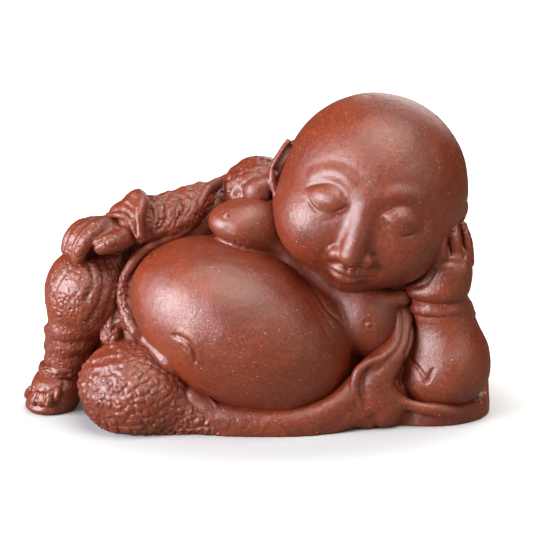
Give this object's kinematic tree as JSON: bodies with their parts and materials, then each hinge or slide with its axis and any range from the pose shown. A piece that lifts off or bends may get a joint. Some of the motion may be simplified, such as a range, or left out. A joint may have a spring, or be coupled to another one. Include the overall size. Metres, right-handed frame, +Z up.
{
  "type": "reclining laughing buddha statue",
  "caption": "Small unglazed clay figure of a plump bald monk in an open robe, leaning on one elbow with his other hand on his raised knee; hollow, open underneath.",
  "frame": {"origin": "on the floor plane under the middle of the figure's bounding box", "axes": "+X along the figure from its feet to the elbow it leans on, +Z up, -Y to the front, where the face and the belly look"},
  "size_m": [0.1428, 0.075, 0.0967],
  "materials": {
    "clay": "unglazed reddish-brown stoneware clay, satin, with a fine sandy grain and small pale and orange specks"
  },
  "bodies": {
    "root": {"robe_shell": "clay", "belly_shell": "clay", "robe_lapel": "clay", "robe_hem": "clay", "head": "clay", "right_ear": "clay", "left_ear": "clay", "right_sleeve": "clay", "right_cuff": "clay", "right_hand": "clay", "left_sleeve": "clay", "left_cuff": "clay", "left_hand": "clay", "left_leg": "clay", "right_leg": "clay", "right_trouser_cuff": "clay", "right_foot": "clay"}
  },
  "joints": []
}
